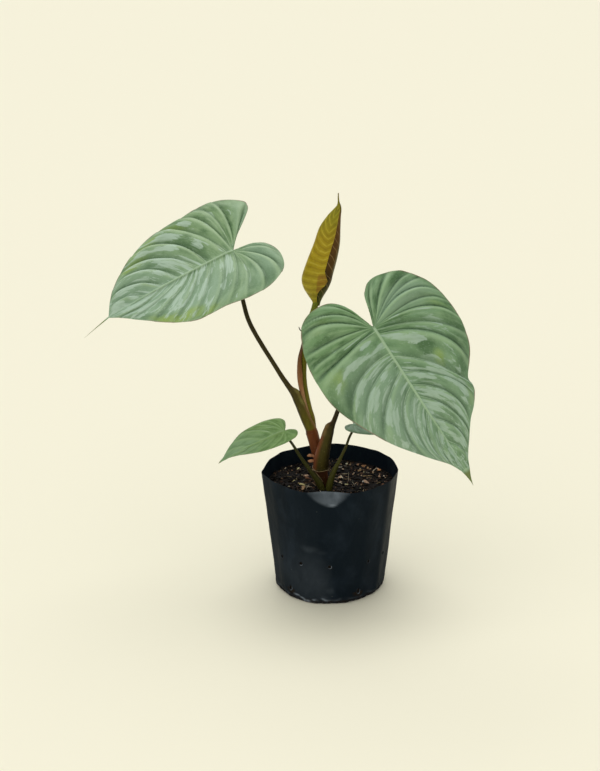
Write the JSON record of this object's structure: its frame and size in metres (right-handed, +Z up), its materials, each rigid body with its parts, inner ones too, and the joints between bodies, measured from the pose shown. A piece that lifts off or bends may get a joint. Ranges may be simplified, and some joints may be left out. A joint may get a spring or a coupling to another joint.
{
  "type": "potted philodendron",
  "caption": "Young silver-leaf philodendron with heart-shaped leaves and one rolled new leaf, standing in a black film grow bag of bark potting mix.",
  "frame": {"origin": "middle of the flat base of the grow bag, on the surface it stands on", "axes": "+Z up along the plant; the plant's usual front faces -Y and its largest leaf leans towards +X"},
  "size_m": [0.3535, 0.1416, 0.382],
  "materials": {
    "film": "satin",
    "mix": "matte",
    "bark": "matte",
    "perlite": "matte",
    "leaf": "satin",
    "new_leaf": "satin",
    "stem": "satin",
    "petiole": "satin",
    "sheath": "satin",
    "root": "matte"
  },
  "bodies": {
    "root": {"grow_bag": "film", "potting_mix": "mix", "main_stem": "stem", "petiole_left": "petiole", "petiole_right": "petiole", "petiole_new": "sheath", "petiole_small_left": "petiole", "petiole_small_right": "petiole", "cataphyll": "sheath", "leaf_left": "leaf", "leaf_right": "leaf", "leaf_small_left": "leaf", "leaf_small_right": "leaf", "leaf_rolled": "new_leaf", "root_1": "root", "root_2": "root", "root_3": "root", "root_4": "root", "root_5": "root", "bark_1": "bark", "bark_2": "bark", "bark_3": "bark", "bark_4": "bark", "bark_5": "bark", "bark_6": "bark", "bark_7": "bark", "bark_8": "bark", "bark_9": "bark", "bark_10": "bark", "bark_11": "bark", "bark_12": "bark", "perlite_1": "perlite", "perlite_2": "perlite", "perlite_3": "perlite", "perlite_4": "perlite", "perlite_5": "perlite", "perlite_6": "perlite"}
  },
  "joints": []
}
